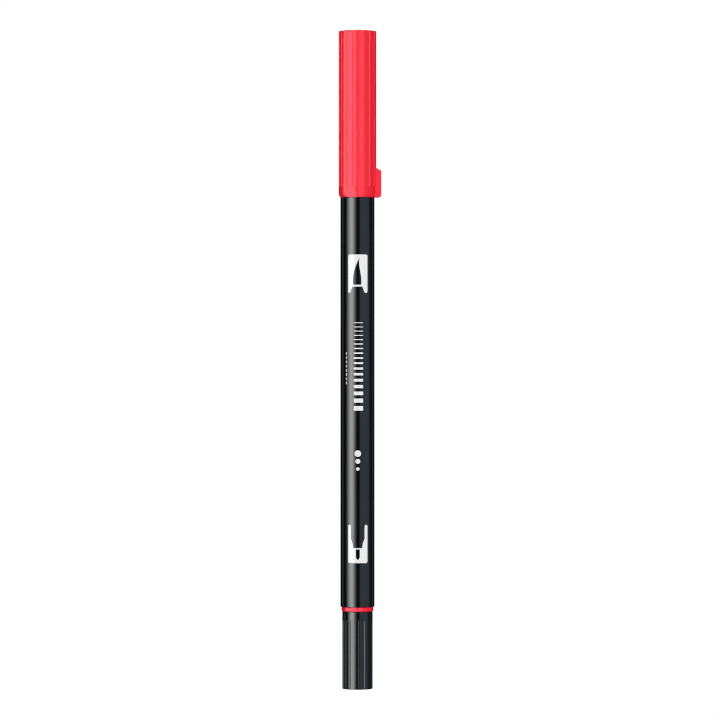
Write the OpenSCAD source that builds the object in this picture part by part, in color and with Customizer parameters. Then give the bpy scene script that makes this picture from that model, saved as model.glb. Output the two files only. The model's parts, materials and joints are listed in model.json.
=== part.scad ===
// Double-ended brush pen: a plain barrel with a soft brush tip at the top and a fine
// bullet tip at the bottom, each under its own push-on cap. Both tips drink from one
// fibre reservoir. The pen stands on the end of its fine cap, with its axis on Z.

/* [Pen] */
// Length with both caps on
pen_length = 172; // [166:0.5:180]
// Outer diameter of the barrel
barrel_d = 8.92; // [8.8:0.02:9.2]
// Bore of the barrel
barrel_bore_d = 7.2; // [7:0.05:7.4]

/* [Brush cap] */
// Outer diameter over the lands between the flutes
brush_cap_d = 9.85; // [9.7:0.05:10.4]
// Length from the rim to the closed end
brush_cap_length = 43.5; // [42:0.5:48]
// Number of flutes
brush_flute_count = 16; // [8:1:18]
// Width of one flute
brush_flute_width = 1.05; // [0.6:0.05:1.2]
// Depth of one flute
brush_flute_depth = 0.16; // [0.06:0.02:0.3]
// Angle from the tab to the middle of the first flute
brush_flute_angle = 13; // [0:0.5:20]
// Height of the plain band at the rim
brush_plain_band = 2.7; // [2:0.1:12]
// Height over which the rim curves in to the barrel
rim_curve_height = 1.4; // [0.8:0.1:1.8]

/* [Anti-roll tab] */
// Distance from the pen's axis to the tab's outer face
tab_reach = 6.25; // [5.8:0.05:7]
// Width of the tab around the cap
tab_width = 2; // [1.6:0.1:4]
// Height of the tab's straight outer face, above the rim
tab_face_height = 6.8; // [4:0.1:12]
// Fall of the tab's top towards its outer face, in degrees
tab_slope = 30; // [20:1:50]

/* [Fine cap] */
// Outer diameter over the lands between the flutes
fine_cap_d = 7.96; // [7.9:0.02:8.2]
// Length from the rim to the closed end
fine_cap_length = 20.3; // [19.8:0.1:24]
// Number of flutes
fine_flute_count = 16; // [8:1:20]
// Width of one flute
fine_flute_width = 0.8; // [0.6:0.05:1.1]
// Depth of one flute
fine_flute_depth = 0.1; // [0.04:0.01:0.18]
// Height of the plain band at the rim
fine_plain_band = 2.2; // [1:0.1:8]

/* [Colour ring] */
// Outer diameter of the ring between the barrel and the fine cap
ring_d = 8.32; // [8.2:0.02:8.8]
// Height of the ring
ring_height = 1.15; // [0.8:0.05:2]

/* [Tips] */
// Length of the brush tip outside its section
brush_tip_length = 13.5; // [10:0.5:16]
// Diameter of the brush tip at its mouth
brush_tip_d = 3.7; // [3.2:0.1:4]
// Length of the fine tip outside its section
fine_tip_length = 3.4; // [2.4:0.1:3.8]
// Diameter of the fine tip
fine_tip_d = 1.6; // [1:0.1:2]

/* [Fits] */
// Radial gap of a cap liner on its seat and in its shell
running_gap = 0.04; // [0.02:0.01:0.06]

/* [Hidden] */
$fn = 96;
curve_steps = 16;

black_plastic = "#141517";
red_plastic = "#F03C4B";
red_fibre = "#C8202F";
white_fibre = "#EFE9E4";
clear_film = "#DDE6EA";
liner_plastic = "#E9E9E6";

// Heights on the pen's axis
barrel_z0 = fine_cap_length + ring_height;
barrel_z1 = pen_length - brush_cap_length;
plug_length = 10;
reservoir_z0 = barrel_z0 + plug_length;
reservoir_z1 = barrel_z1 - plug_length;
stem_in_reservoir = 7.5;

// Barrel
barrel_r = barrel_d / 2;
bore_r = barrel_bore_d / 2;
barrel_edge = 0.2;
rib_count = 6;
rib_width = 0.6;
rib_height = 0.5;

// Reservoir
film_thickness = 0.1;
film_r = bore_r - rib_height;
core_r = film_r - film_thickness;

// Brush section, measured from the barrel's upper end
brush_flange_r = 3.7;
brush_flange_height = 0.6;
brush_seat_r = 3.16;
brush_seat_end = 8;
brush_nose_end = 16.5;
brush_mouth_r = 2.25;
brush_stem_r = 1.55;
vent_count = 4;
vent_r = 0.3;

// Fine section, measured down from the ring's lower face
ring_seat_r = 3.05;
fine_seat_r = 2.66;
fine_seat_end = 7.3;
fine_nose_end = 13.1;
fine_mouth_r = 1.55;

// Caps, each measured from its own rim towards its closed end
brush_shell_r = brush_cap_d / 2;
brush_shell_bore_r = 3.9;
brush_shell_end_wall = 1.8;
brush_shell_edge = 0.2;
rim_curve_inset = brush_shell_r - barrel_r - 0.015;
brush_liner_bore_r = brush_seat_r + running_gap;
brush_liner_r = brush_shell_bore_r - running_gap;
brush_liner_start = 0.8;
brush_liner_end = 38;
brush_bead = [30, 0.4, 0.2];

fine_shell_r = fine_cap_d / 2;
fine_shell_bore_r = 3.33;
fine_shell_end_wall = 1.5;
fine_shell_edge = 0.2;
fine_rim_edge = 0.1;
fine_liner_bore_r = fine_seat_r + running_gap;
fine_liner_r = fine_shell_bore_r - running_gap;
fine_liner_start = 0.7;
fine_liner_end = 18.4;
fine_bead = [12, 0.3, 0.15];

liner_end_wall = 0.8;
liner_lead_in = 0.25;
tab_root_x = 4.3;
tab_corner_r = 0.85;
tab_top_r = 0.3;
tab_side_r = 0.35;
ring_edge = 0.25;
through = 1;

// Points of a circular arc in the plane of an outline
function arc(centre, r, from, to, steps = 6) = [
    for (i = [0:steps])
        let (a = from + (to - from) * i / steps)
        centre + r * [cos(a), sin(a)]
];

// Radius of a circle that stands off by depth over half a chord
function chord_radius(half_chord, depth) = (half_chord * half_chord + depth * depth) / (2 * depth);

// Solid of revolution about the pen's axis from [radius, height] points
module turned(outline) {
    rotate_extrude() polygon(outline);
}

// The brush end's own frame: height 0 on the barrel's upper end, growing to the tip
module at_brush_end() {
    translate([0, 0, barrel_z1]) children();
}

// The fine end's own frame: height 0 under the ring, growing to the tip
module at_fine_end() {
    translate([0, 0, fine_cap_length]) mirror([0, 0, 1]) children();
}

// Ring of slot cutters of one depth, each with a round end at start
module flutes(count, surface_r, width, depth, start, end, first_angle) {
    half = width / 2;
    run = end - start - half + through;
    floor_r = surface_r - depth;
    difference() {
        for (i = [0:count - 1])
            rotate([0, 0, first_angle + 360 * i / count])
                translate([floor_r - through / 2, 0, start + half])
                    rotate([0, 90, 0])
                        linear_extrude(height = 2 * through)
                            slot(half, run);
        translate([0, 0, start - through])
            cylinder(h = end - start + 3 * through, r = floor_r);
    }
}

// Strip along -X from a round end on the origin
module slot(half, run) {
    circle(r = half);
    translate([-run, -half]) square([run, 2 * half]);
}

// Closed tube with a chamfered end and a rim that curves in
module shell_blank(r, bore, length, end_wall, edge, rim_inset, rim_height) {
    rim_r = chord_radius(rim_height, rim_inset);
    rim_angle = asin(rim_height / rim_r);
    turned(concat(
        [[bore, 0]],
        arc([r - rim_r, rim_height], rim_r, -rim_angle, 0, 8),
        [[r, length - edge], [r - edge, length], [0, length], [0, length - end_wall],
         [bore, length - end_wall]]
    ));
}

// Inner cap: a closed tube with a snap bead; bead is [height, radius, how proud]
module liner(r, bore, start, end, bead) {
    difference() {
        union() {
            turned([
                [0, start], [r - liner_lead_in, start], [r, start + liner_lead_in],
                [r, end - liner_lead_in], [r - liner_lead_in, end], [0, end]
            ]);
            bead_ring(r, bead, 0);
        }
        turned([
            [0, start - through], [bore + liner_lead_in, start - through],
            [bore + liner_lead_in, start], [bore, start + liner_lead_in],
            [bore, end - liner_end_wall], [0, end - liner_end_wall]
        ]);
    }
}

// The bead of a liner, or its groove when grown by the running gap
module bead_ring(liner_r, bead, grow) {
    rotate_extrude()
        translate([liner_r + bead[2] - bead[1], bead[0]]) circle(r = bead[1] + grow);
}

module barrel() {
    color(black_plastic) {
        turned([
            [bore_r, barrel_z0], [barrel_r - barrel_edge, barrel_z0],
            [barrel_r, barrel_z0 + barrel_edge], [barrel_r, barrel_z1 - barrel_edge],
            [barrel_r - barrel_edge, barrel_z1], [bore_r, barrel_z1]
        ]);
        for (i = [0:rib_count - 1])
            rotate([0, 0, 360 * i / rib_count])
                translate([film_r, -rib_width / 2, reservoir_z0])
                    cube([rib_height + 0.2, rib_width, reservoir_z1 - reservoir_z0]);
    }
}

module ink_reservoir() {
    color(white_fibre) difference() {
        translate([0, 0, reservoir_z0]) cylinder(h = reservoir_z1 - reservoir_z0, r = core_r);
        translate([0, 0, reservoir_z0 - through])
            cylinder(h = stem_in_reservoir + through, r = fine_tip_d / 2);
        translate([0, 0, reservoir_z1 - stem_in_reservoir])
            cylinder(h = stem_in_reservoir + through, r = brush_stem_r);
    }
}

module reservoir_wrap() {
    color(clear_film) turned([
        [core_r, reservoir_z0], [film_r, reservoir_z0],
        [film_r, reservoir_z1], [core_r, reservoir_z1]
    ]);
}

// Brush section: plug, flange, cap seat and cone, with air channels along the nib's stem
module brush_section() {
    color(black_plastic) at_brush_end() difference() {
        turned([
            [brush_stem_r, -plug_length], [bore_r - 0.2, -plug_length],
            [bore_r, 0.2 - plug_length], [bore_r, 0],
            [brush_flange_r, 0], [brush_flange_r, brush_flange_height],
            [brush_seat_r, brush_flange_height], [brush_seat_r, brush_seat_end - 0.3],
            [brush_seat_r - 0.2, brush_seat_end], [brush_mouth_r + 0.15, brush_nose_end - 0.3],
            [brush_mouth_r, brush_nose_end], [brush_stem_r, brush_nose_end]
        ]);
        for (i = [0:vent_count - 1])
            rotate([0, 0, 360 * (i + 0.5) / vent_count])
                translate([brush_stem_r, 0, -plug_length - through])
                    cylinder(h = plug_length + brush_nose_end + 2 * through, r = vent_r);
    }
}

// Flame shape: swells a little above the mouth, then runs out to a soft point
function brush_tip_r(t) = brush_tip_d / 2 * pow(1 - t, 0.75) * (1 + 1.3 * t);

module brush_nib() {
    tip = [
        for (i = [0:curve_steps])
            let (t = sin(90 * i / curve_steps))
            [brush_tip_r(t), brush_nose_end + t * brush_tip_length]
    ];
    color(red_fibre) at_brush_end() turned(concat(
        [[0, -plug_length - stem_in_reservoir], [brush_stem_r, -plug_length - stem_in_reservoir],
         [brush_stem_r, brush_nose_end]],
        tip
    ));
}

// Fine section: plug, seat for the colour ring, cap seat and a cove down to the mouth
module fine_section() {
    cove = [
        for (i = [0:curve_steps])
            let (t = i / curve_steps)
            [fine_mouth_r + (fine_seat_r - 0.15 - fine_mouth_r) * pow(1 - t, 2),
             fine_seat_end + t * (fine_nose_end - 0.15 - fine_seat_end)]
    ];
    plug_end = -ring_height - plug_length;
    color(black_plastic) at_fine_end() turned(concat(
        [[fine_tip_d / 2, plug_end], [bore_r - 0.2, plug_end], [bore_r, plug_end + 0.2],
         [bore_r, -ring_height], [ring_seat_r, -ring_height], [ring_seat_r, 0],
         [fine_seat_r, 0], [fine_seat_r, fine_seat_end - 0.2]],
        cove,
        [[fine_mouth_r - 0.1, fine_nose_end], [fine_tip_d / 2, fine_nose_end]]
    ));
}

module fine_nib() {
    r = fine_tip_d / 2;
    bullet_length = 1.4 * r;
    bullet = [
        for (i = [0:curve_steps])
            let (t = sin(90 * i / curve_steps))
            [r * pow(1 - t * t, 0.6), fine_nose_end + fine_tip_length - bullet_length * (1 - t)]
    ];
    rod_end = -ring_height - plug_length - stem_in_reservoir;
    color(red_fibre) at_fine_end() turned(concat([[0, rod_end], [r, rod_end]], bullet));
}

module colour_ring() {
    r = ring_d / 2;
    color(red_plastic) turned([
        [ring_seat_r, fine_cap_length], [r - ring_edge, fine_cap_length],
        [r, fine_cap_length + ring_edge], [r, barrel_z0], [ring_seat_r, barrel_z0]
    ]);
}

// Side view of the tab: flat foot, rounded corners and a sloping top
module tab_side() {
    top = arc([tab_reach - tab_top_r, tab_face_height], tab_top_r, 0, 90 - tab_slope);
    top_end = top[len(top) - 1];
    polygon(concat(
        [[tab_root_x, 0]],
        arc([tab_reach - tab_corner_r, tab_corner_r], tab_corner_r, -90, 0),
        top,
        [[tab_root_x, top_end[1] + (top_end[0] - tab_root_x) * tan(tab_slope)]]
    ));
}

// Plan of the tab, with its two outer edges rounded
module tab_plan() {
    y = tab_width / 2 - tab_side_r;
    x = tab_reach - tab_side_r;
    polygon(concat(
        [[tab_root_x, -tab_width / 2]],
        arc([x, -y], tab_side_r, -90, 0),
        arc([x, y], tab_side_r, 0, 90),
        [[tab_root_x, tab_width / 2]]
    ));
}

module anti_roll_tab() {
    intersection() {
        rotate([90, 0, 0]) translate([0, 0, -tab_width / 2]) linear_extrude(tab_width) tab_side();
        linear_extrude(brush_cap_length / 2) tab_plan();
    }
}

module brush_cap_shell() {
    color(red_plastic) at_brush_end() {
        difference() {
            shell_blank(brush_shell_r, brush_shell_bore_r, brush_cap_length, brush_shell_end_wall,
                        brush_shell_edge, rim_curve_inset, rim_curve_height);
            flutes(brush_flute_count, brush_shell_r, brush_flute_width, brush_flute_depth,
                   brush_plain_band, brush_cap_length, brush_flute_angle);
            bead_ring(brush_liner_r, brush_bead, running_gap);
        }
        anti_roll_tab();
    }
}

module brush_cap_liner() {
    color(liner_plastic) at_brush_end()
        liner(brush_liner_r, brush_liner_bore_r, brush_liner_start, brush_liner_end, brush_bead);
}

module fine_cap_shell() {
    color(black_plastic) at_fine_end() difference() {
        shell_blank(fine_shell_r, fine_shell_bore_r, fine_cap_length, fine_shell_end_wall,
                    fine_shell_edge, fine_rim_edge, fine_rim_edge);
        flutes(fine_flute_count, fine_shell_r, fine_flute_width, fine_flute_depth,
               fine_plain_band, fine_cap_length, 90);
        bead_ring(fine_liner_r, fine_bead, running_gap);
    }
}

module fine_cap_liner() {
    color(liner_plastic) at_fine_end()
        liner(fine_liner_r, fine_liner_bore_r, fine_liner_start, fine_liner_end, fine_bead);
}

barrel();
ink_reservoir();
reservoir_wrap();
brush_section();
brush_nib();
fine_section();
fine_nib();
colour_ring();
brush_cap_shell();
brush_cap_liner();
fine_cap_shell();
fine_cap_liner();
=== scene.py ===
"""Looks of the double-ended brush pen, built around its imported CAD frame. Metres, +Z up the pen."""
import json
import math

import bmesh
import bpy
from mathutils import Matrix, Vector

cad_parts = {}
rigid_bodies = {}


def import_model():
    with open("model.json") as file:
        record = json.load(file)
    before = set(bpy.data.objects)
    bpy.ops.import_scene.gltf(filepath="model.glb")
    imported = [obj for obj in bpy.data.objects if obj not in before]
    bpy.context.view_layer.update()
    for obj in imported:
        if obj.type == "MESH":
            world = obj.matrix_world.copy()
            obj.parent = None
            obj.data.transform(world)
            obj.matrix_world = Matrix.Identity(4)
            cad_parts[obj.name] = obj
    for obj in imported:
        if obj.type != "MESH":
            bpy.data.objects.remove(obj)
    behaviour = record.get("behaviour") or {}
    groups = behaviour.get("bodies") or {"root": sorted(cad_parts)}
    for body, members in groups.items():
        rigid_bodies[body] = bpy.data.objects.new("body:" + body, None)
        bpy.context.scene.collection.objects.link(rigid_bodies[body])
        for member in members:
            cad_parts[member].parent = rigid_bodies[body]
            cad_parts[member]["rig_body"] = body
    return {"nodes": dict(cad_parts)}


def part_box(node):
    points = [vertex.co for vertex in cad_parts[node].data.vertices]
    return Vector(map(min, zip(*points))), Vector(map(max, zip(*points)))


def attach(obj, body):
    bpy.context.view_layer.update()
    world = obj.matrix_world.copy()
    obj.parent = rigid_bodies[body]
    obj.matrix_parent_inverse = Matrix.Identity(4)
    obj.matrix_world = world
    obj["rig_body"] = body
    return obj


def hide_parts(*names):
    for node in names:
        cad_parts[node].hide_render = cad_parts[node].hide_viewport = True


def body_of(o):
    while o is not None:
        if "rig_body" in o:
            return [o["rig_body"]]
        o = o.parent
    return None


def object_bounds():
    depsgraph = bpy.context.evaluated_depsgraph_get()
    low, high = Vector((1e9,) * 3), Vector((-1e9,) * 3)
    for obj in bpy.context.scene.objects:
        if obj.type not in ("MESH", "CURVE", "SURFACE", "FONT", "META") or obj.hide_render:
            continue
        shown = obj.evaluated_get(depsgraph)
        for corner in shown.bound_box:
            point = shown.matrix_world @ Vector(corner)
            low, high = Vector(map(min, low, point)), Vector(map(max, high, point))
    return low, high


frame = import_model()
cad_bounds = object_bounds()

MM = 0.001
TURN = 2 * math.pi

# Places and outer sizes from the CAD frame
barrel_lo, barrel_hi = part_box("barrel")
ring_lo, ring_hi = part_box("colour_ring")
brush_cap_lo, brush_cap_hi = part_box("brush_cap_shell")
fine_cap_lo, fine_cap_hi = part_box("fine_cap_shell")
brush_section_lo, brush_section_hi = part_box("brush_section")
fine_section_lo, fine_section_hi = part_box("fine_section")
brush_nib_lo, brush_nib_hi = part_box("brush_nib")
fine_nib_lo, fine_nib_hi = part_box("fine_nib")
brush_liner_lo, brush_liner_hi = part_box("brush_cap_liner")
fine_liner_lo, fine_liner_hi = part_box("fine_cap_liner")
reservoir_lo, reservoir_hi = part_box("ink_reservoir")

BARREL_R = barrel_hi.x
BORE_R = fine_section_hi.x
BRUSH_CAP_R = brush_cap_hi.y
FINE_CAP_R = fine_cap_hi.x
RING_R = ring_hi.x

# Inner sizes, which repeat the CAD source
RING_SEAT_R = 3.05 * MM
RIB_COUNT = 6
RIB_HEIGHT = 0.5 * MM
RIB_WIDTH = 0.6 * MM
BRUSH_BORE_R = 3.9 * MM
BRUSH_END_WALL = 1.8 * MM
FINE_BORE_R = 3.33 * MM
FINE_END_WALL = 1.5 * MM
BRUSH_STEM_R = 1.55 * MM
BRUSH_SEAT_R = 3.16 * MM
BRUSH_SEAT_HEIGHT = 8 * MM
BRUSH_FLANGE_HEIGHT = 0.6 * MM
BRUSH_MOUTH_R = 2.25 * MM
FINE_SEAT_R = 2.66 * MM
FINE_SEAT_HEIGHT = 7.3 * MM
FINE_MOUTH_R = 1.55 * MM
RUNNING_GAP = 0.04 * MM
LINER_END_WALL = 0.8 * MM


# ---------------------------------------------------------------- outlines and turned pieces

def slerp(a, b, t):
    """Turns the 2D vector a towards b, of the same length, by the share t."""
    cosine = (a[0] * b[0] + a[1] * b[1]) / (math.hypot(*a) * math.hypot(*b))
    angle = math.acos(max(-1, min(1, cosine)))
    if angle < 1e-6:
        return a
    wa = math.sin((1 - t) * angle) / math.sin(angle)
    wb = math.sin(t * angle) / math.sin(angle)
    return (wa * a[0] + wb * b[0], wa * a[1] + wb * b[1])


def fillet(before, corner, after, steps=5):
    """The arc that rounds corner, an (x, y, radius) point between two others."""
    nearly_straight = math.radians(89)
    largest_share = 0.49
    x, y, radius = corner
    u = (before[0] - x, before[1] - y)
    v = (after[0] - x, after[1] - y)
    lu, lv = math.hypot(*u), math.hypot(*v)
    if radius <= 0 or lu == 0 or lv == 0:
        return [(x, y)]
    u = (u[0] / lu, u[1] / lu)
    v = (v[0] / lv, v[1] / lv)
    half = math.acos(max(-1, min(1, u[0] * v[0] + u[1] * v[1]))) / 2
    if half > nearly_straight:
        return [(x, y)]
    tangent = min(radius / math.tan(half), largest_share * lu, largest_share * lv)
    to_centre = tangent / math.cos(half)
    middle = (u[0] + v[0], u[1] + v[1])
    length = math.hypot(*middle)
    centre = (x + middle[0] / length * to_centre, y + middle[1] / length * to_centre)
    start = (x + u[0] * tangent - centre[0], y + u[1] * tangent - centre[1])
    end = (x + v[0] * tangent - centre[0], y + v[1] * tangent - centre[1])
    turned = [slerp(start, end, i / steps) for i in range(steps + 1)]
    return [(centre[0] + p[0], centre[1] + p[1]) for p in turned]


def rounded(corners, closed=False):
    """Outline through (x, y, radius) corners, each rounded by its radius."""
    points = []
    last = len(corners) - 1
    for i, corner in enumerate(corners):
        if not closed and i in (0, last):
            points.append(corner[:2])
        else:
            points += fillet(corners[i - 1], corner, corners[(i + 1) % len(corners)])
    return points


def revolve(name, rows, columns=256):
    """Closed skin about Z. A row is (radius, z), and both may be functions of the angle.
    Rows that start and end on the axis make a solid of one skin, and other rows make a ring."""
    verts, rings = [], []
    for radius, z in rows:
        if not callable(radius) and radius < 1e-9:
            rings.append([len(verts)] * columns)
            verts.append((0, 0, z))
            continue
        rings.append(range(len(verts), len(verts) + columns))
        for c in range(columns):
            a = TURN * c / columns
            r = radius(a) if callable(radius) else radius
            h = z(a) if callable(z) else z
            verts.append((r * math.cos(a), r * math.sin(a), h))
    pairs = list(zip(rings, rings[1:]))
    if len(set(rings[0])) > 1:
        pairs.append((rings[-1], rings[0]))
    faces = []
    for lower, upper in pairs:
        for c in range(columns):
            d = (c + 1) % columns
            face = [lower[c], lower[d], upper[d], upper[c]]
            faces.append(list(dict.fromkeys(face)))
    return make_mesh(name, verts, faces)


def make_mesh(name, verts, faces):
    """Scene object with merged doubles, no zero-size faces and normals that face out."""
    smallest = 1e-7
    mesh = bpy.data.meshes.new(name)
    mesh.from_pydata(verts, [], faces)
    bm = bmesh.new()
    bm.from_mesh(mesh)
    bmesh.ops.remove_doubles(bm, verts=bm.verts, dist=smallest)
    bmesh.ops.dissolve_degenerate(bm, edges=bm.edges, dist=smallest)
    bmesh.ops.recalc_face_normals(bm, faces=bm.faces)
    bm.to_mesh(mesh)
    bm.free()
    piece = bpy.data.objects.new(name, mesh)
    bpy.context.scene.collection.objects.link(piece)
    return piece


def place(piece, body, material, slot, *nodes):
    """Smooth shading, material and body, and hides the CAD nodes that the piece stands for. The slot
    is not used.
    """
    for polygon in piece.data.polygons:
        polygon.use_smooth = True
    piece.modifiers.new("even_shading", "WEIGHTED_NORMAL").keep_sharp = True
    piece.data.materials.clear()
    piece.data.materials.append(material)
    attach(piece, body)
    if nodes:
        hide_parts(*nodes)
    return piece


# ---------------------------------------------------------------- fluted caps

class Flutes:
    """Shallow flat-floored slots along a cap, round at the start and open at the closed end.
    Up is 1 where the cap's closed end is its higher end, and -1 where it is the lower one."""

    WALL = 0.12 * MM

    def __init__(self, count, surface_r, width, depth, start, first_angle, up):
        self.count = count
        self.surface_r = surface_r
        self.half = width / 2
        self.depth = depth
        self.start = start
        self.first_angle = first_angle
        self.up = up

    def share(self, angle, z):
        """How far down a slot's wall this place is, from 0 on a land to 1 on the slot's floor."""
        pitch = TURN / self.count
        off = (angle - self.first_angle + pitch / 2) % pitch - pitch / 2
        short = max(self.half - self.up * (z - self.start), 0)
        inside = self.half - math.hypot(off * self.surface_r, short)
        t = max(0, min(1, inside / self.WALL))
        return t * t * (3 - 2 * t)

    def radius(self, angle, z):
        return self.surface_r - self.depth * self.share(angle, z)

    def row(self, z):
        return (lambda angle: self.radius(angle, z)), z

    def edge_row(self, end_z, edge, t, dip):
        """Row t, from 0 to 1, round the closed end's edge, which dips a little in each slot."""
        inset = edge * (1 - math.cos(t * math.pi / 2))
        drop = edge * (1 - math.sin(t * math.pi / 2))

        def radius(angle):
            return self.radius(angle, end_z) - inset

        def height(angle):
            return end_z - self.up * (drop + dip * t * self.share(angle, end_z))

        return radius, height


def cap_skin(name, flutes, bore_r, rim_z, end_z, end_wall, edge, dip, rim):
    """Cap shell: bore, rim outline, fluted wall and scalloped closed end."""
    start_steps, edge_steps, columns_per_flute = 24, 6, 80
    end_face_shares = (0.9, 0.86, 0.4)
    up = flutes.up
    inner_z = end_z - up * end_wall
    inside = [(0, inner_z, 0), (bore_r, inner_z, 0.5 * MM), (bore_r, rim_z, 0.12 * MM)]
    rows = rounded(inside + [(r, rim_z + up * h, f) for r, h, f in rim])
    round_start = 1.02 * flutes.half
    for i in range(start_steps + 1):
        rows.append(flutes.row(flutes.start + up * round_start * i / start_steps))
    for i in range(edge_steps + 1):
        rows.append(flutes.edge_row(end_z, edge, i / edge_steps, dip))
    rows += [(flutes.surface_r * share, end_z) for share in end_face_shares]
    rows.append((0, end_z))
    return revolve(name, rows, columns=flutes.count * columns_per_flute)


def rim_curve(r, inset, height, steps=10):
    """Rim corners (radius, height, fillet) that curve in from the wall to the rim's edge."""
    curve_r = (height**2 + inset**2) / (2 * inset)
    lowest = math.asin(height / curve_r)
    points = []
    for i in range(steps + 1):
        a = lowest * (1 - i / steps)
        points.append((r - curve_r + curve_r * math.cos(a), height - curve_r * math.sin(a), 0))
    first = points[0]
    points[0] = (first[0], first[1], 0.08 * MM)
    return points


# ---------------------------------------------------------------- materials

def new_material(name):
    material = bpy.data.materials.new(name)
    material.use_nodes = True
    nodes = material.node_tree.nodes
    return material, nodes, material.node_tree.links, nodes["Principled BSDF"]


def noise(nodes, links, scale, stretch=(1, 1, 1), detail=3.0, roughness=0.5):
    """Noise in the pen's own coordinates; scale counts features per metre."""
    where = nodes.new("ShaderNodeTexCoord")
    mapping = nodes.new("ShaderNodeMapping")
    texture = nodes.new("ShaderNodeTexNoise")
    mapping.inputs["Scale"].default_value = stretch
    texture.inputs["Scale"].default_value = scale
    texture.inputs["Detail"].default_value = detail
    texture.inputs["Roughness"].default_value = roughness
    links.new(where.outputs["Object"], mapping.inputs["Vector"])
    links.new(mapping.outputs["Vector"], texture.inputs["Vector"])
    return texture.outputs["Fac"]


def spread(nodes, links, factor, low, high):
    """Maps a noise factor onto the range from low to high."""
    ranged = nodes.new("ShaderNodeMapRange")
    ranged.inputs["From Min"].default_value = 0.3
    ranged.inputs["From Max"].default_value = 0.7
    ranged.inputs["To Min"].default_value = low
    ranged.inputs["To Max"].default_value = high
    links.new(factor, ranged.inputs["Value"])
    return ranged.outputs["Result"]


def two_tone(nodes, links, factor, dark, light):
    ramp = nodes.new("ShaderNodeValToRGB")
    ramp.color_ramp.elements[0].position = 0.3
    ramp.color_ramp.elements[0].color = (*dark, 1)
    ramp.color_ramp.elements[1].position = 0.7
    ramp.color_ramp.elements[1].color = (*light, 1)
    links.new(factor, ramp.inputs["Fac"])
    return ramp.outputs["Color"]


def relief(nodes, links, shader, height, depth):
    bump = nodes.new("ShaderNodeBump")
    bump.inputs["Distance"].default_value = depth
    links.new(height, bump.inputs["Height"])
    links.new(bump.outputs["Normal"], shader.inputs["Normal"])


def moulded_plastic(name, dark, light, roughness, ripple, gloss_tint=(1, 1, 1)):
    """Moulded plastic: faint colour drift, uneven gloss, a skin ripple of about a millimetre."""
    material, nodes, links, shader = new_material(name)
    drift = noise(nodes, links, 160, stretch=(1, 1, 0.3))
    links.new(two_tone(nodes, links, drift, dark, light), shader.inputs["Base Color"])
    haze = noise(nodes, links, 700, stretch=(1, 1, 0.15), detail=5)
    links.new(spread(nodes, links, haze, *roughness), shader.inputs["Roughness"])
    skin = noise(nodes, links, 1100, stretch=(1, 1, 0.4))
    relief(nodes, links, shader, skin, ripple)
    shader.inputs["IOR"].default_value = 1.5
    shader.inputs["Specular Tint"].default_value = (*gloss_tint, 1)
    return material


def fibre(name, dark, light, strands, relief_depth):
    """Bonded fibre: strands along the pen, rough and porous."""
    material, nodes, links, shader = new_material(name)
    strand = noise(nodes, links, strands, stretch=(1, 1, 0.06), detail=6, roughness=0.65)
    links.new(two_tone(nodes, links, strand, dark, light), shader.inputs["Base Color"])
    links.new(spread(nodes, links, strand, 0.75, 0.95), shader.inputs["Roughness"])
    relief(nodes, links, shader, strand, relief_depth)
    shader.inputs["Specular IOR Level"].default_value = 0.2
    return material


def milky_plastic():
    """Natural milky plastic of the inner caps."""
    material, nodes, links, shader = new_material("milky_plastic")
    cloud = noise(nodes, links, 220)
    links.new(two_tone(nodes, links, cloud, (0.66, 0.66, 0.63), (0.76, 0.76, 0.73)),
              shader.inputs["Base Color"])
    links.new(spread(nodes, links, cloud, 0.32, 0.45), shader.inputs["Roughness"])
    relief(nodes, links, shader, noise(nodes, links, 900), 0.004 * MM)
    shader.inputs["Subsurface Weight"].default_value = 0.25
    shader.inputs["Subsurface Radius"].default_value = (0.0012, 0.0012, 0.001)
    shader.inputs["Subsurface Scale"].default_value = 1.0
    return material


def printed_ink():
    """White pad-printed ink with a fine grain."""
    material, nodes, links, shader = new_material("printed_ink")
    grain = noise(nodes, links, 5000, detail=2)
    links.new(two_tone(nodes, links, grain, (0.88, 0.88, 0.88), (0.94, 0.94, 0.94)),
              shader.inputs["Base Color"])
    links.new(spread(nodes, links, grain, 0.12, 0.22), shader.inputs["Roughness"])
    relief(nodes, links, shader, grain, 0.001 * MM)
    return material


def clear_film():
    """Clear film round the reservoir, with faint wrinkles along it."""
    material, nodes, links, shader = new_material("clear_film")
    wrinkle = noise(nodes, links, 500, stretch=(1, 1, 0.1), detail=4)
    links.new(spread(nodes, links, wrinkle, 0.08, 0.25), shader.inputs["Roughness"])
    relief(nodes, links, shader, wrinkle, 0.02 * MM)
    shader.inputs["Base Color"].default_value = (0.92, 0.95, 0.97, 1)
    shader.inputs["Alpha"].default_value = 0.35
    return material


BLACK = moulded_plastic("barrel_black", (0.0012, 0.0024, 0.0034), (0.0016, 0.0030, 0.0042),
                        roughness=(0.10, 0.15), ripple=0.0006 * MM)
CAP_BLACK = moulded_plastic("fine_cap_black", (0.0014, 0.0026, 0.0036), (0.0018, 0.0032, 0.0044),
                            roughness=(0.12, 0.17), ripple=0.0006 * MM)
SATIN_BLACK = moulded_plastic("section_black", (0.004, 0.0045, 0.005), (0.006, 0.0065, 0.007),
                              roughness=(0.26, 0.34), ripple=0.0015 * MM)
RED = moulded_plastic("cap_red", (0.90, 0.0155, 0.035), (0.94, 0.0175, 0.039),
                      roughness=(0.13, 0.19), ripple=0.0008 * MM, gloss_tint=(1, 0.29, 0.34))
NIB_RED = fibre("nib_red", (0.26, 0.002, 0.007), (0.50, 0.006, 0.015),
                strands=9000, relief_depth=0.03 * MM)
RESERVOIR_RED = fibre("reservoir_red", (0.62, 0.10, 0.13), (0.80, 0.30, 0.32),
                      strands=4000, relief_depth=0.05 * MM)
MILKY = milky_plastic()
INK = printed_ink()
FILM = clear_film()


# ---------------------------------------------------------------- pieces of the pen

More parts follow.
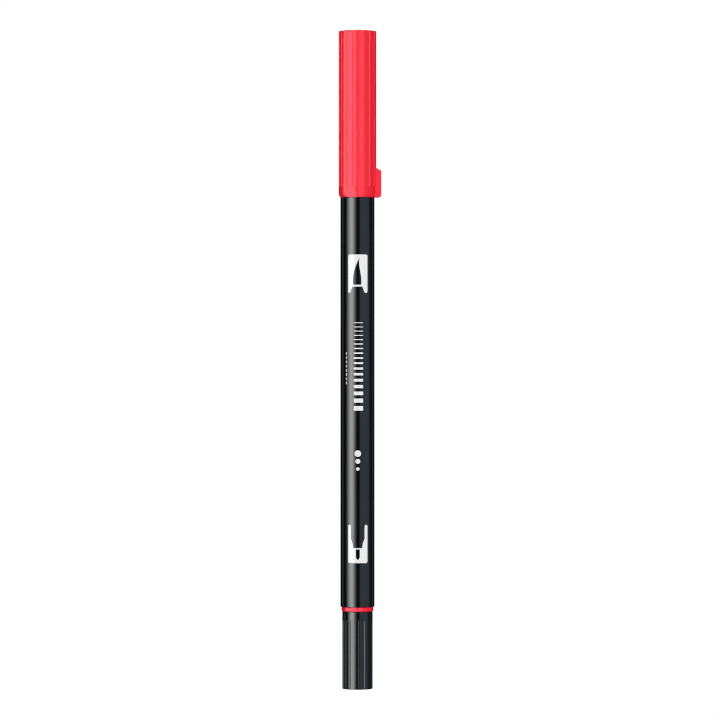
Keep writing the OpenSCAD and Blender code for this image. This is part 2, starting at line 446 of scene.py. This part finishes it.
def barrel():
    """Tube with ribs along the part of its bore that holds the reservoir."""
    pitch = TURN / RIB_COUNT
    flank = 0.5

    def ribbed(angle):
        off = (angle + pitch / 2) % pitch - pitch / 2
        across = abs(off) * BORE_R / (RIB_WIDTH / 2)
        return BORE_R - RIB_HEIGHT * max(0, min(1, (1 + flank / 2 - across) / flank))

    tube = rounded([
        (BORE_R, barrel_lo.z, 0.1 * MM), (BARREL_R, barrel_lo.z, 0.22 * MM),
        (BARREL_R, barrel_hi.z, 0.22 * MM), (BORE_R, barrel_hi.z, 0.1 * MM),
    ], closed=True)
    tube += [(BORE_R, reservoir_hi.z), (ribbed, reservoir_hi.z), (ribbed, reservoir_lo.z),
             (BORE_R, reservoir_lo.z)]
    place(revolve("barrel_tube", tube, columns=360), "pen", BLACK, "barrel_plastic", "barrel")


def colour_ring():
    ring = rounded([
        (RING_SEAT_R, ring_lo.z, 0.05 * MM), (RING_R, ring_lo.z, 0.3 * MM),
        (RING_R, ring_hi.z, 0.1 * MM), (RING_SEAT_R, ring_hi.z, 0.05 * MM),
    ], closed=True)
    place(revolve("ring_red", ring), "pen", RED, "red_plastic", "colour_ring")


def brush_cap():
    """Long fluted cap, whose rim curves in almost to the barrel, with its tab."""
    flutes = Flutes(count=16, surface_r=BRUSH_CAP_R, width=1.05 * MM, depth=0.16 * MM,
                    start=brush_cap_lo.z + 2.7 * MM, first_angle=math.radians(13), up=1)
    rim = rim_curve(BRUSH_CAP_R, inset=BRUSH_CAP_R - BARREL_R - 0.015 * MM, height=1.4 * MM)
    skin = cap_skin("brush_cap_skin", flutes, BRUSH_BORE_R, brush_cap_lo.z, brush_cap_hi.z,
                    BRUSH_END_WALL, edge=0.2 * MM, dip=0.08 * MM, rim=rim)
    place(skin, "brush_cap", RED, "red_plastic", "brush_cap_shell")
    place(anti_roll_tab(), "brush_cap", RED, "red_plastic")


def anti_roll_tab():
    """Tab with a flat foot, rounded corners and a sloping top, on the cap's +X side."""
    root_x = 4.3 * MM
    half_width = 1 * MM
    face_height = 6.8 * MM
    slope = math.radians(30)
    foot_r, top_r = 0.85 * MM, 0.3 * MM
    reach = brush_cap_hi.x
    foot = brush_cap_lo.z
    top = foot + face_height + top_r * math.tan((math.pi / 2 - slope) / 2)
    side = rounded([
        (root_x, foot, 0), (reach, foot, foot_r), (reach, top, top_r),
        (root_x, top + (reach - root_x) * math.tan(slope), 0),
    ])
    verts = [(x, y, z) for y in (-half_width, half_width) for x, z in side]
    count = len(side)
    faces = [list(range(count)), list(range(count, 2 * count))]
    faces += [[i, (i + 1) % count, (i + 1) % count + count, i + count] for i in range(count)]
    tab = make_mesh("anti_roll_tab", verts, faces)
    bevel = tab.modifiers.new("soft_edges", "BEVEL")
    bevel.width = 0.3 * MM
    bevel.segments = 5
    bevel.limit_method = "ANGLE"
    bevel.angle_limit = math.radians(50)
    return tab


def fine_cap():
    """Short fluted cap with a narrow bevel round its rim."""
    flutes = Flutes(count=16, surface_r=FINE_CAP_R, width=0.8 * MM, depth=0.1 * MM,
                    start=fine_cap_hi.z - 2.2 * MM, first_angle=TURN / 4, up=-1)
    bevel = 0.1 * MM
    rim = [(FINE_CAP_R - bevel, 0, 0), (FINE_CAP_R, bevel, 0.05 * MM), (FINE_CAP_R, 1 * MM, 0)]
    skin = cap_skin("fine_cap_skin", flutes, FINE_BORE_R, fine_cap_hi.z, fine_cap_lo.z,
                    FINE_END_WALL, edge=0.2 * MM, dip=0.06 * MM, rim=rim)
    place(skin, "fine_cap", CAP_BLACK, "fine_cap_plastic", "fine_cap_shell")


def liner(name, body, node, start_z, end_z, outer_r, bore_r, bead):
    """Inner cap with a domed end and a snap bead; bead is (height, radius, how proud)."""
    steps = 10
    lead_in, inner_corner, outer_corner = 0.25 * MM, 0.5 * MM, 0.6 * MM
    up = 1 if end_z > start_z else -1
    bead_z, bead_r, proud = bead
    reach = math.acos((bead_r - proud) / bead_r)
    bulge = []
    for i in range(steps + 1):
        a = reach * (2 * i / steps - 1)
        bulge.append((outer_r + proud - bead_r + bead_r * math.cos(a),
                      bead_z + up * bead_r * math.sin(a), 0))
    inner_z = end_z - up * LINER_END_WALL
    outline = [(0, inner_z, 0), (bore_r, inner_z, inner_corner), (bore_r, start_z, lead_in),
               (outer_r, start_z, lead_in)]
    outline += bulge
    outline += [(outer_r, end_z, outer_corner), (0, end_z, 0)]
    place(revolve(name, rounded(outline), columns=192), body, MILKY, "liner_plastic", node)


def liners():
    liner("brush_liner_tube", "brush_liner", "brush_cap_liner", brush_liner_lo.z,
          brush_liner_hi.z, BRUSH_BORE_R - RUNNING_GAP, BRUSH_SEAT_R + RUNNING_GAP,
          (brush_cap_lo.z + 30 * MM, 0.4 * MM, 0.2 * MM))
    liner("fine_liner_tube", "fine_liner", "fine_cap_liner", fine_liner_hi.z,
          fine_liner_lo.z, FINE_BORE_R - RUNNING_GAP, FINE_SEAT_R + RUNNING_GAP,
          (fine_cap_hi.z - 12 * MM, 0.3 * MM, 0.15 * MM))


def brush_section():
    """Holder of the brush nib, with four air channels that open round the nib."""
    face_z = barrel_hi.z
    seat_z = face_z + BRUSH_SEAT_HEIGHT
    flange_z = face_z + BRUSH_FLANGE_HEIGHT
    vent_r = 0.3 * MM
    past_vents = BRUSH_STEM_R + 0.4 * MM

    def vented(angle):
        off = abs((angle % (TURN / 4)) - TURN / 8) * BRUSH_STEM_R
        return BRUSH_STEM_R + math.sqrt(max(vent_r**2 - off**2, 0))

    outline = rounded([
        (past_vents, brush_section_lo.z, 0), (BORE_R, brush_section_lo.z, 0.2 * MM),
        (BORE_R, face_z, 0), (brush_section_hi.x, face_z, 0),
        (brush_section_hi.x, flange_z, 0.15 * MM), (BRUSH_SEAT_R, flange_z, 0.1 * MM),
        (BRUSH_SEAT_R, seat_z, 0.5 * MM), (BRUSH_MOUTH_R, brush_section_hi.z, 0.2 * MM),
        (past_vents, brush_section_hi.z, 0),
    ])
    outline += [(vented, brush_section_hi.z), (vented, brush_section_lo.z)]
    piece = revolve("brush_section_body", outline, columns=240)
    place(piece, "pen", SATIN_BLACK, "section_plastic", "brush_section")


def fine_section():
    """Holder of the fine nib: ring seat, cap seat and a cove down to the mouth."""
    face_z = fine_cap_hi.z
    seat_z = face_z - FINE_SEAT_HEIGHT
    nib_r = fine_nib_hi.x
    steps = 20
    cove_r = FINE_SEAT_R - 0.1 * MM
    cove_end_z = fine_section_lo.z + 0.2 * MM
    cove = []
    for i in range(steps + 1):
        t = i / steps
        r = FINE_MOUTH_R + (cove_r - FINE_MOUTH_R) * (1 - t) ** 2
        cove.append((r, seat_z + t * (cove_end_z - seat_z), 0))
    outline = rounded([
        (nib_r, fine_section_hi.z, 0), (BORE_R, fine_section_hi.z, 0.2 * MM),
        (BORE_R, barrel_lo.z, 0.05 * MM), (RING_SEAT_R, barrel_lo.z, 0.05 * MM),
        (RING_SEAT_R, face_z, 0.1 * MM), (FINE_SEAT_R, face_z, 0.1 * MM),
        (FINE_SEAT_R, seat_z + 0.2 * MM, 0.1 * MM), *cove,
        (FINE_MOUTH_R, fine_section_lo.z, 0.15 * MM), (nib_r, fine_section_lo.z, 0),
    ])
    piece = revolve("fine_section_body", outline)
    place(piece, "pen", SATIN_BLACK, "section_plastic", "fine_section")


def brush_nib():
    """Stem and flame-shaped fibre tip."""
    mouth_z = brush_section_hi.z
    length = brush_nib_hi.z - mouth_z
    mouth_r = 1.85 * MM
    belly, taper = 1.3, 0.75
    steps = 40
    rows = [(0, brush_nib_lo.z), (BRUSH_STEM_R, brush_nib_lo.z), (BRUSH_STEM_R, mouth_z)]
    for i in range(steps):
        t = math.sin(math.pi / 2 * i / steps)
        rows.append((mouth_r * (1 - t) ** taper * (1 + belly * t), mouth_z + t * length))
    rows.append((0, brush_nib_hi.z))
    place(revolve("brush_nib_fibre", rows, columns=192), "pen", NIB_RED, "nib_fibre", "brush_nib")


def fine_nib():
    """Fibre rod with a bullet tip."""
    r = fine_nib_hi.x
    bullet = 1.4 * r
    roundness = 0.6
    steps = 28
    rows = [(0, fine_nib_hi.z), (r, fine_nib_hi.z)]
    for i in range(steps):
        t = math.sin(math.pi / 2 * i / steps)
        rows.append((r * (1 - t * t) ** roundness, fine_nib_lo.z + bullet * (1 - t)))
    rows.append((0, fine_nib_lo.z))
    place(revolve("fine_nib_fibre", rows, columns=128), "pen", NIB_RED, "nib_fibre", "fine_nib")


def hidden_pieces():
    """The reservoir and its film keep their CAD shapes and get their materials."""
    for node, material in (("ink_reservoir", RESERVOIR_RED), ("reservoir_wrap", FILM)):
        piece = frame["nodes"][node]
        piece.data.materials.clear()
        piece.data.materials.append(material)


# ---------------------------------------------------------------- printing on the barrel

def bezier(a, b, c, d, steps=14):
    """Curve from a to d that b and c pull at."""
    points = []
    for i in range(steps + 1):
        t = i / steps
        w = ((1 - t) ** 3, 3 * t * (1 - t) ** 2, 3 * t * t * (1 - t), t**3)
        points.append(tuple(sum(k * p[n] for k, p in zip(w, (a, b, c, d))) for n in (0, 1)))
    return points


def disc(x, y, radius, steps=40):
    return [(x + radius * math.cos(TURN * i / steps), y + radius * math.sin(TURN * i / steps))
            for i in range(steps)]


def bar(x, y, width, height, corner):
    """Bar centred on x, y with rounded corners."""
    w, h = width / 2, height / 2
    corners = [(x - w, y - h), (x + w, y - h), (x + w, y + h), (x - w, y + h)]
    return rounded([(*p, corner) for p in corners], closed=True)


def printed(name, loops, height):
    """Wraps flat loops, in millimetres across and up, onto the barrel's front as a thin layer of ink.
    Loops inside others are left bare. Height is where the loops' zero lies on the pen."""
    lift = 0.012 * MM
    layer = 0.02 * MM
    cut_pitch = 0.12
    mesh = flat_mesh(name, loops)
    bm = bmesh.new()
    bm.from_mesh(mesh)
    bmesh.ops.remove_doubles(bm, verts=bm.verts, dist=1e-5)
    low = min(v.co.x for v in bm.verts)
    high = max(v.co.x for v in bm.verts)
    for i in range(1, int((high - low) / cut_pitch) + 1):
        everything = bm.verts[:] + bm.edges[:] + bm.faces[:]
        bmesh.ops.bisect_plane(bm, geom=everything, plane_co=(low + i * cut_pitch, 0, 0),
                               plane_no=(1, 0, 0))
    radius = BARREL_R + lift
    for v in bm.verts:
        a = v.co.x * MM / BARREL_R
        v.co = (radius * math.sin(a), -radius * math.cos(a), height + v.co.y * MM)
    bm.normal_update()
    for face in bm.faces:
        middle = face.calc_center_median()
        if face.normal.x * middle.x + face.normal.y * middle.y < 0:
            face.normal_flip()
    bm.to_mesh(mesh)
    bm.free()
    mesh.name = name
    piece = bpy.data.objects.new(name, mesh)
    bpy.context.scene.collection.objects.link(piece)
    thick = piece.modifiers.new("ink_layer", "SOLIDIFY")
    thick.thickness = layer
    thick.offset = -1
    place(piece, "pen", INK, "printed_ink")


def flat_mesh(name, loops):
    """Mesh that fills flat loops, apart from the loops inside others."""
    curve = bpy.data.curves.new(name, "CURVE")
    curve.dimensions = "2D"
    curve.fill_mode = "BOTH"
    for loop in loops:
        spline = curve.splines.new("POLY")
        spline.points.add(len(loop) - 1)
        spline.use_cyclic_u = True
        for point, (x, y) in zip(spline.points, loop):
            point.co = (x, y, 0, 1)
    flat = bpy.data.objects.new(name + "_flat", curve)
    bpy.context.scene.collection.objects.link(flat)
    bpy.context.view_layer.update()
    filled = flat.evaluated_get(bpy.context.evaluated_depsgraph_get())
    mesh = bpy.data.meshes.new_from_object(filled)
    bpy.data.objects.remove(flat)
    return mesh


PANEL_LEFT, PANEL_RIGHT = -2.56, 2.78
PANEL_HEIGHT = 10
PANEL_CORNER = 0.42


def brush_symbol():
    """White panel with a brush tip over its holder, both left bare."""
    holder_top, holder_half, holder_foot = 1.62, 1.3, 1.94
    left_foot, right_foot, point = (-1.17, 2.12), (0.96, 2.12), (0.62, 9.35)
    panel = rounded([
        (PANEL_LEFT, PANEL_HEIGHT, PANEL_CORNER), (PANEL_LEFT, 0, PANEL_CORNER),
        (-holder_foot, 0, 0.3), (-holder_half, holder_top, 0.05),
        (holder_half, holder_top, 0.05), (holder_foot, 0, 0.38),
        (PANEL_RIGHT, 0, PANEL_CORNER), (PANEL_RIGHT, PANEL_HEIGHT, PANEL_CORNER),
    ], closed=True)
    left = bezier(left_foot, (-1.3, 4.6), (-0.8, 6.6), point)
    right = bezier(point, (-0.1, 7.3), (1.42, 4.2), right_foot)
    printed("printed_brush_symbol", [panel, left + right[1:]], barrel_hi.z - 25.0 * MM)


def bullet_symbol():
    """White panel with a shouldered holder over a bullet tip, both left bare."""
    middle = 0.09
    body_half, neck_half, neck_y, shoulder_y = 1.82, 1.2, 3.95, 6.35
    cove = bezier((-body_half, shoulder_y), (-1.5, 5.6), (-1.25, 5.2), (-neck_half, neck_y))
    cove_left = [(middle + x, y, 0) for x, y in cove]
    cove_right = [(middle - x, y, 0) for x, y in cove]
    panel = rounded([
        (PANEL_LEFT, 0, PANEL_CORNER), (PANEL_RIGHT, 0, PANEL_CORNER),
        (PANEL_RIGHT, PANEL_HEIGHT, PANEL_CORNER), (middle + body_half, PANEL_HEIGHT, PANEL_CORNER),
        *cove_right, *reversed(cove_left),
        (middle - body_half, PANEL_HEIGHT, 0.3), (PANEL_LEFT, PANEL_HEIGHT, 0.3),
    ], closed=True)
    tip_top, tip_half, tip_shoulder, tip_end = 3.58, 0.5, 1.8, 0.8
    point = bezier((-tip_half, tip_shoulder), (-tip_half, 1.3), (-0.28, 1.0), (0, tip_end))
    left_side = [(middle - tip_half, tip_top)] + [(middle + x, y) for x, y in point]
    right_side = [(middle - x, y) for x, y in reversed(point[:-1])] + [(middle + tip_half, tip_top)]
    printed("printed_bullet_symbol", [panel, left_side + right_side], barrel_lo.z + 11.6 * MM)


def line_scale():
    """Bars from fine to broad, which show the widths of line that the tips draw."""
    count = 17
    first, last, growth = 0.2, 1.2, 2.2
    middle, width, gap, corner = 0.26, 2.5, 0.88, 0.1
    y = 0
    loops = []
    for i in range(count):
        height = first + (last - first) * (i / (count - 1)) ** growth
        loops.append(bar(middle, y - height / 2, width, height, corner))
        y -= height + gap
    printed("printed_line_scale", loops, barrel_hi.z - 32.7 * MM)


def dash_row():
    """Row of small dashes beside the bars."""
    count, pitch = 8, 1.1
    middle, width, length, corner = -3.15, 0.3, 0.7, 0.14
    loops = [bar(middle, -i * pitch, width, length, corner) for i in range(count)]
    printed("printed_dash_row", loops, barrel_hi.z - 40.8 * MM)


def dot_row():
    """Three dots from broad to fine."""
    count, middle, pitch = 3, 0.1, 2.0
    largest, shrink = 0.85, 0.2
    loops = [disc(middle, -i * pitch, largest - i * shrink) for i in range(count)]
    printed("printed_dot_row", loops, barrel_hi.z - 66.9 * MM)


# ---------------------------------------------------------------- studio

def floor():
    """Plain white floor, below the lowest place that the fine cap reaches when it is pulled off.
    It isn't mirrored in the pen, so the pen reads the same from end to end."""
    half = 2.0
    room_below = 30 * MM
    level = fine_cap_lo.z - room_below
    corners = [(-half, -half), (half, -half), (half, half), (-half, half)]
    piece = make_mesh("floor", [(x, y, level) for x, y in corners], [[0, 1, 2, 3]])
    material = bpy.data.materials.new("floor_white")
    material.use_nodes = True
    nodes = material.node_tree.nodes
    nodes.remove(nodes["Principled BSDF"])
    glow = nodes.new("ShaderNodeEmission")
    material.node_tree.links.new(glow.outputs["Emission"], nodes["Material Output"].inputs["Surface"])
    piece.data.materials.append(material)
    piece.visible_diffuse = False
    piece.visible_glossy = False
    piece.visible_shadow = False


def world(white, ambient):
    """White to the eye, an even soft light on matt surfaces, and dark in reflections."""
    sky = bpy.data.worlds.new("studio")
    bpy.context.scene.world = sky
    sky.use_nodes = True
    sky.cycles.sampling_method = "NONE"
    nodes, links = sky.node_tree.nodes, sky.node_tree.links
    path = nodes.new("ShaderNodeLightPath")
    seen = nodes.new("ShaderNodeMath")
    seen.operation = "MULTIPLY"
    seen.inputs[1].default_value = white
    lit = nodes.new("ShaderNodeMath")
    lit.operation = "MULTIPLY_ADD"
    lit.inputs[1].default_value = ambient
    links.new(path.outputs["Is Camera Ray"], seen.inputs[0])
    links.new(path.outputs["Is Diffuse Ray"], lit.inputs[0])
    links.new(seen.outputs["Value"], lit.inputs[2])
    links.new(lit.outputs["Value"], nodes["Background"].inputs["Strength"])
    nodes["Background"].inputs["Color"].default_value = (1, 1, 1, 1)


def soft_box(name, first, last, strength, fade, tint, radius, receivers):
    """Tall curved light panel that only reflections show, and only in the receivers.
    Angles are in degrees round the pen from the camera's side towards +X. Fade gives the share of
    the panel over which each edge dims. Panels are see-through, so they stand inside one another."""
    low, high, steps = -2.5, 2.7, 48
    verts = []
    for i in range(steps + 1):
        a = math.radians(first + (last - first) * i / steps)
        verts += [(radius * math.sin(a), -radius * math.cos(a), z) for z in (low, high)]
    faces = [[2 * i, 2 * i + 2, 2 * i + 3, 2 * i + 1] for i in range(steps)]
    panel = make_mesh(name, verts, faces)
    across = panel.data.attributes.new("across", "FLOAT", "POINT")
    across.data.foreach_set("value", [(i // 2) / steps for i in range(len(verts))])
    panel.data.materials.append(glow_material(name, strength, fade, tint))
    panel.visible_camera = False
    panel.visible_diffuse = False
    panel.visible_transmission = False
    panel.visible_shadow = False
    lit = bpy.data.collections.new(name + "_receivers")
    for piece in receivers:
        lit.objects.link(piece)
    panel.light_linking.receiver_collection = lit


def glow_material(name, strength, fade, tint):
    """See-through emission that dims towards both edges of a panel."""
    material = bpy.data.materials.new(name)
    material.use_nodes = True
    nodes, links = material.node_tree.nodes, material.node_tree.links
    nodes.remove(nodes["Principled BSDF"])
    glow = nodes.new("ShaderNodeEmission")
    clear = nodes.new("ShaderNodeBsdfTransparent")
    both = nodes.new("ShaderNodeAddShader")
    across = nodes.new("ShaderNodeAttribute")
    across.attribute_name = "across"
    ramps = []
    for dark, light in ((0, fade[0]), (1, 1 - fade[1])):
        ramp = nodes.new("ShaderNodeMapRange")
        ramp.interpolation_type = "SMOOTHSTEP"
        ramp.inputs["From Min"].default_value = dark
        ramp.inputs["From Max"].default_value = light
        links.new(across.outputs["Fac"], ramp.inputs["Value"])
        ramps.append(ramp.outputs["Result"])
    bell = multiply(nodes, links, *ramps)
    level = multiply(nodes, links, multiply(nodes, links, bell, bell), strength)
    glow.inputs["Color"].default_value = (*tint, 1)
    links.new(level, glow.inputs["Strength"])
    links.new(glow.outputs["Emission"], both.inputs[0])
    links.new(clear.outputs["BSDF"], both.inputs[1])
    links.new(both.outputs["Shader"], nodes["Material Output"].inputs["Surface"])
    return material


def multiply(nodes, links, a, b):
    product = nodes.new("ShaderNodeMath")
    product.operation = "MULTIPLY"
    for socket, value in zip(product.inputs, (a, b)):
        if isinstance(value, (int, float)):
            socket.default_value = value
        else:
            links.new(value, socket)
    return product.outputs["Value"]


def matt_light(name, location, size, watts):
    """Large soft lamp, level with its target on the pen's axis, that isn't mirrored in the pen."""
    data = bpy.data.lights.new(name, "AREA")
    data.shape = "SQUARE"
    data.size = size
    data.energy = watts
    lamp = bpy.data.objects.new(name, data)
    bpy.context.scene.collection.objects.link(lamp)
    lamp.location = location
    away = lamp.location.copy()
    away.z = 0
    lamp.rotation_euler = away.to_track_quat("Z", "Y").to_euler()
    lamp.visible_glossy = False
    lamp.visible_camera = False


WHITE_LIGHT = (1, 1, 1)
COOL_LIGHT = (0.88, 1, 1.1)

# Soft boxes seen in the dark pieces and in the red ones:
# name, first and last angle, strength, fades at the two edges, colour
BOXES_ON_DARK = [
    ("dark_key", -97, 6, 7.9, (0.53, 0.44), WHITE_LIGHT),
    ("dark_fill", 6, 121, 0.78, (0.13, 0.48), COOL_LIGHT),
    ("dark_left_rim", -141, -88, 0.3, (0.4, 0.6), COOL_LIGHT),
    ("dark_right_rim", 108, 141, 0.3, (0.5, 0.5), COOL_LIGHT),
    ("dark_back", 158, 202, 1.6, (0.45, 0.45), COOL_LIGHT),
]
BOXES_ON_RED = [
    ("red_base", -140, 138, 2.0, (0.3, 0.4), WHITE_LIGHT),
    ("red_key", -101, -6, 5.2, (0.1, 0.05), WHITE_LIGHT),
    ("red_key_core", -82, -4, 2.9, (0.45, 0.3), WHITE_LIGHT),
    ("red_fill", 6, 52, 3.2, (0.12, 0.6), WHITE_LIGHT),
]


def lights():
    pieces = [o for o in bpy.context.scene.objects if o.type == "MESH" and body_of(o)]
    red = [o for o in pieces if o.data.materials and o.data.materials[0] == RED]
    dark = [o for o in pieces if o not in red]
    radius, radius_step = 0.8, 0.02
    for boxes, receivers in ((BOXES_ON_DARK, dark), (BOXES_ON_RED, red)):
        for name, first, last, strength, fade, tint in boxes:
            soft_box(name, first, last, strength, fade, tint, radius, receivers)
            radius += radius_step
    middle = (cad_bounds[0].z + cad_bounds[1].z) / 2
    for name, x, y in (("front_lamp", 0.5, -1.52), ("back_lamp", -0.5, 1.52)):
        matt_light(name, (x, y, middle), size=1.2, watts=10)


def camera():
    """Level view of the whole pen from about a metre, as in the reference view."""
    distance = 1.05
    frame_height = 0.1884
    data = bpy.data.cameras.new("camera")
    eye = bpy.data.objects.new("camera", data)
    bpy.context.scene.collection.objects.link(eye)
    low, high = cad_bounds
    eye.location = ((low.x + high.x) / 2, -distance, (low.z + high.z) / 2)
    eye.rotation_euler = (math.pi / 2, 0, 0)
    data.sensor_width = 36
    data.lens = data.sensor_width * distance / frame_height
    data.clip_start = 0.05
    data.clip_end = 20
    bpy.context.scene.camera = eye


camera()
barrel()
colour_ring()
brush_cap()
fine_cap()
liners()
brush_section()
fine_section()
brush_nib()
fine_nib()
hidden_pieces()
brush_symbol()
bullet_symbol()
line_scale()
dash_row()
dot_row()
floor()
world(white=1.0, ambient=0.575)
lights()

bpy.context.scene.view_settings.view_transform = "Standard"
bpy.context.scene.cycles.filter_width = 1.1
bpy.context.scene.cycles.transparent_max_bounces = 24
